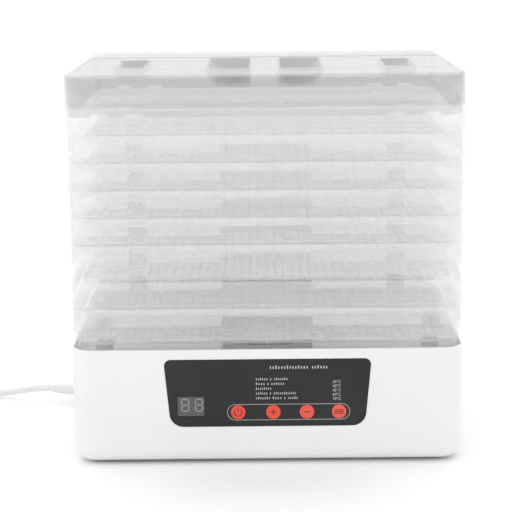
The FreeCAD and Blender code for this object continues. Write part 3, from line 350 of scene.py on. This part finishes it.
def add_band(shape, outer, inner, y0, y1, closed=True):
    """A thin strip between two outlines with the same number of points."""
    rings = [[shape.verts.new((x, y, z)) for x, z in line] for line in (outer, inner) for y in (y0, y1)]
    outer_front, outer_back, inner_front, inner_back = rings
    count = len(outer)
    for n in range(count if closed else count - 1):
        m = (n + 1) % count
        shape.faces.new([outer_front[n], outer_front[m], inner_front[m], inner_front[n]])
        shape.faces.new([outer_back[m], outer_back[n], inner_back[n], inner_back[m]])
        shape.faces.new([outer_front[m], outer_front[n], outer_back[n], outer_back[m]])
        shape.faces.new([inner_front[n], inner_front[m], inner_back[m], inner_back[n]])


def round_rect(x0, x1, z0, z1, radius, steps=6):
    points = []
    for cx, cz, start in ((x1 - radius, z0 + radius, -90), (x1 - radius, z1 - radius, 0),
                          (x0 + radius, z1 - radius, 90), (x0 + radius, z0 + radius, 180)):
        for n in range(steps + 1):
            a = math.radians(start + 90 * n / steps)
            points.append((cx + radius * math.cos(a), cz + radius * math.sin(a)))
    return points


def arc(cx, cz, radius, start, end, steps):
    points = []
    for n in range(steps + 1):
        a = math.radians(start + (end - start) * n / steps)
        points.append((cx + radius * math.cos(a), cz + radius * math.sin(a)))
    return points


# ------------------------------------------------------------------ fine mesh of the tray floors
RIB_PITCH = 22.0 * MM
STRANDS_BETWEEN = 2
STRAND_W = 1.1 * MM
STRAND_T = 1.2 * MM
FLOOR_RISE = 8.5 * MM  # tray's lowest point up to the middle of its floor's thickness
FLOOR_IN = 11.0 * MM  # tray's outer side to the edge of its mesh floor
CROSS_STRANDS = 41
CROSS_RIB_STEP = 7  # every seventh cross strand is one of the tray's own ribs


def make_tray_meshes(materials):
    for number in TRAY_NUMBERS:
        tray = f"tray_{number}"
        low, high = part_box(tray)
        x_end = high.x - FLOOR_IN
        y_end = high.y - FLOOR_IN
        z_low = low.z + FLOOR_RISE - STRAND_T / 2
        z_high = low.z + FLOOR_RISE + STRAND_T / 2
        half = STRAND_W / 2
        shape = bmesh.new()
        step = RIB_PITCH / (STRANDS_BETWEEN + 1)
        count = int(x_end / step)
        for n in range(-count, count + 1):
            if n % (STRANDS_BETWEEN + 1):
                x = n * step
                add_box(shape, x - half, x + half, -y_end, y_end, z_low, z_high)
        for n in range(CROSS_STRANDS):
            if (n + 1) % CROSS_RIB_STEP:
                y = -y_end + 2 * y_end * (n + 1) / (CROSS_STRANDS + 1)
                add_box(shape, -x_end, x_end, y - half, y + half, z_low, z_high)
        new_piece(f"{tray}_mesh", shape, materials["clear_mesh"], tray)


# ------------------------------------------------------------------ key panel
PRINT_T = 0.03 * MM
PILL = (-35.3, 71.2, 40.3, 54.7)  # mm, x from and to, z from and to
PILL_LINE = 0.5
TITLE_Z = 87.2
TITLE_WORDS = ((2.0, 36.0), (38.4, 52.8))
TITLE_H = 2.2
TITLE_LETTER = 2.4
LIST_H = 1.6
LIST_LETTER = 1.75
WORD_GAP = 1.4
TEXT_DROP = 1.2  # a line's middle down to the feet of its letters
LIST_DROP = 1.0
STROKE_SHARE = 0.42  # a stroke's width as a share of its letter's pitch
TALL = 1.35  # every fourth stroke is taller, as in words with tall letters
LIST_TOP_Z = 77.0
LIST_PITCH = 4.24
TEMPERATURE_TOP_Z = 74.2
TEMPERATURE_PITCH = 3.8
LIST_X = -10.1
LIST_WIDTHS = ((11.0, 2.0, 12.4), (8.6, 2.0, 12.0), (14.0,), (10.6, 2.0, 20.0), (13.0, 8.6, 2.0, 9.0))
TEMPERATURES = ("35", "40", "45", "60", "70")
TEMPERATURE_X = 56.0
TEMPERATURE_SIZE = 3.5


def greeked(shape, x0, x1, z, height, letter, face):
    """A row of small upright strokes in place of a printed word."""
    count = max(int((x1 - x0) / letter), 1)
    pitch = (x1 - x0) / count
    for n in range(count):
        rise = height * (1.0 if (n * 5 + count) % 4 else TALL)
        left = x0 + n * pitch
        right = left + pitch * STROKE_SHARE
        outline = [(left, z), (right, z), (right, z + rise), (left, z + rise)]
        add_plate(shape, [(x * MM, h * MM) for x, h in outline], face - PRINT_T, face)


def make_panel_print(materials):
    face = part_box("control_panel")[0].y
    shape = bmesh.new()
    x0, x1, z0, z1 = PILL
    outer = round_rect(x0 * MM, x1 * MM, z0 * MM, z1 * MM, (z1 - z0) / 2 * MM, 16)
    line = PILL_LINE
    inner = round_rect((x0 + line) * MM, (x1 - line) * MM, (z0 + line) * MM, (z1 - line) * MM,
                       ((z1 - z0) / 2 - line) * MM, 16)
    add_band(shape, outer, inner, face - PRINT_T, face)
    new_piece("panel_key_frame", shape, materials["print_grey"], "base")
    shape = bmesh.new()
    for left, right in TITLE_WORDS:
        greeked(shape, left, right, TITLE_Z - TEXT_DROP, TITLE_H, TITLE_LETTER, face)
    for row, words in enumerate(LIST_WIDTHS):
        left = LIST_X
        for width in words:
            z = LIST_TOP_Z - row * LIST_PITCH - LIST_DROP
            greeked(shape, left, left + width, z, LIST_H, LIST_LETTER, face)
            left += width + WORD_GAP
    new_piece("panel_word_marks", shape, materials["print_white"], "base")
    for row, text in enumerate(TEMPERATURES):
        curve = bpy.data.curves.new(f"temperature_{text}", "FONT")
        curve.body = text + "\u00b0C"
        curve.size = TEMPERATURE_SIZE * MM
        curve.extrude = PRINT_T / 2
        curve.materials.append(materials["print_white"])
        label = bpy.data.objects.new(f"temperature_{text}", curve)
        z = TEMPERATURE_TOP_Z - row * TEMPERATURE_PITCH - TEXT_DROP
        label.location = (TEMPERATURE_X * MM, face - PRINT_T / 2, z * MM)
        label.rotation_euler = (math.radians(90), 0, 0)
        scene.collection.objects.link(label)
        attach(label, "base")


# a numeral's seven segments, from and to, as shares of its width and height
SEGMENTS = (
    ((0, 1), (1, 1)),
    ((0, 0.5), (1, 0.5)),
    ((0, 0), (1, 0)),
    ((0, 0.5), (0, 1)),
    ((1, 0.5), (1, 1)),
    ((0, 0), (0, 0.5)),
    ((1, 0), (1, 0.5)),
)
DIGIT_W = 6.0
DIGIT_H = 10.6
DIGIT_LINE = 1.25
DIGIT_RISE = 1.3
DIGIT_PLACES = (-8.0, 3.9)
DIGIT_GAP = 0.22


def make_display(materials):
    """Two unlit numerals behind the smoked window."""
    low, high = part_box("display_window")
    middle = (low + high) / 2 / MM
    face = low.y
    shape = bmesh.new()
    base_z = middle.z - DIGIT_H / 2 + DIGIT_RISE
    for left in DIGIT_PLACES:
        for (ax, az), (bx, bz) in SEGMENTS:
            start = Vector((ax * DIGIT_W, az * DIGIT_H))
            end = Vector((bx * DIGIT_W, bz * DIGIT_H))
            along = (end - start).normalized()
            across = Vector((-along.y, along.x)) * DIGIT_LINE / 2
            start += along * DIGIT_GAP
            end -= along * DIGIT_GAP
            tip = along * DIGIT_LINE / 2
            outline = [start, start + tip - across, end - tip - across,
                       end, end - tip + across, start + tip + across]
            points = [((middle.x + left + p.x) * MM, (base_z + p.y) * MM) for p in outline]
            add_plate(shape, points, face - PRINT_T, face)
    new_piece("display_digits", shape, materials["digit_grey"], "base")


ICON_R = 3.7
ICON_LINE = 0.8
ICON_BAR = 2.5
ICON_BAR_T = 0.55
POWER_GAP = (125, 415)  # degrees between which the power ring is drawn
POWER_STEM = (0.62, 0.55)  # its stem's middle and half length, as shares of the ring's radius
PLUS_ARM = (0.62, 0.38)  # the same for the arms of the plus, as shares of its bar
MODE_BAR = 1.6
MODE_BAR_T = 0.42
MODE_PITCH = 1.5


def icon_bar(shape, x, z, half_x, half_z, face):
    outline = round_rect((x - half_x) * MM, (x + half_x) * MM, (z - half_z) * MM, (z + half_z) * MM,
                         min(half_x, half_z) * 0.9 * MM, 3)
    add_plate(shape, outline, face - PRINT_T, face)


def make_icons(materials):
    for key in KEYS:
        low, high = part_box(f"button_{key}")
        middle = (low + high) / 2 / MM
        face = low.y
        shape = bmesh.new()
        x = middle.x
        z = middle.z
        if key == "power":
            outer = arc(x * MM, z * MM, ICON_R * MM, *POWER_GAP, 24)
            inner = arc(x * MM, z * MM, (ICON_R - ICON_LINE) * MM, *POWER_GAP, 24)
            add_band(shape, outer, inner, face - PRINT_T, face, closed=False)
            icon_bar(shape, x, z + ICON_R * POWER_STEM[0], ICON_LINE / 2, ICON_R * POWER_STEM[1], face)
        if key in ("plus", "minus"):
            icon_bar(shape, x, z, ICON_BAR, ICON_BAR_T, face)
        if key == "plus":
            for side in (1, -1):
                middle_z = z + side * ICON_BAR * PLUS_ARM[0]
                icon_bar(shape, x, middle_z, ICON_BAR_T, ICON_BAR * PLUS_ARM[1], face)
        if key == "mode":
            for n in (-1, 0, 1):
                icon_bar(shape, x, z + n * MODE_PITCH, ICON_BAR * MODE_BAR, MODE_BAR_T, face)
        new_piece(f"icon_{key}", shape, materials["icon_dark"], f"button_{key}")


# ------------------------------------------------------------------ stage and light
FLOOR_HALF = 60.0  # so large that its edge is out of sight
SKY_FRONT = 0.92  # strength of the light from before the object, and from behind it
SKY_BACK = 1.12
KEY_POWER = 4
TOP_POWER = 8


def make_stage():
    mesh = bpy.data.meshes.new("floor")
    shape = bmesh.new()
    bmesh.ops.create_grid(shape, x_segments=2, y_segments=2, size=FLOOR_HALF)
    shape.to_mesh(mesh)
    shape.free()
    material = surface("floor", (0.99, 0.99, 0.99), 0.6, spread=0.004, grain=40.0, relief=0.0)
    mesh.materials.append(material)
    floor = bpy.data.objects.new("floor", mesh)
    scene.collection.objects.link(floor)


def area_light(name, place, aim, width, height, power):
    data = bpy.data.lights.new(name, "AREA")
    data.shape = "RECTANGLE"
    data.size = width
    data.size_y = height
    data.energy = power
    light = bpy.data.objects.new(name, data)
    light.location = place
    light.rotation_euler = (Vector(aim) - Vector(place)).to_track_quat("-Z", "Y").to_euler()
    scene.collection.objects.link(light)


def make_world():
    world = bpy.data.worlds.new("studio")
    scene.world = world
    world.use_nodes = True
    tree = world.node_tree
    back = tree.nodes["Background"]
    place = tree.nodes.new("ShaderNodeTexCoord")
    split = tree.nodes.new("ShaderNodeSeparateXYZ")
    tree.links.new(place.outputs["Generated"], split.inputs["Vector"])
    level = ramp(tree, split.outputs["Y"], SKY_FRONT, SKY_BACK, -0.8, 0.6)
    tree.links.new(level, back.inputs["Strength"])
    back.inputs["Color"].default_value = (1.0, 1.0, 1.0, 1)


def make_lights():
    area_light("key_left", (-1.5, -1.6, 1.5), (0, 0, 0.15), 1.2, 1.2, KEY_POWER)
    area_light("top", (0, 0.3, 2.2), (0, 0, 0), 2.0, 2.0, TOP_POWER)


# ------------------------------------------------------------------ run
make_camera()
materials = make_materials()
make_lead(materials)
make_tray_meshes(materials)
make_panel_print(materials)
make_display(materials)
make_icons(materials)
make_stage()
make_world()
make_lights()
scene.view_settings.view_transform = "Standard"
scene.cycles.max_bounces = 32
scene.cycles.transmission_bounces = 32
scene.cycles.transparent_max_bounces = 64
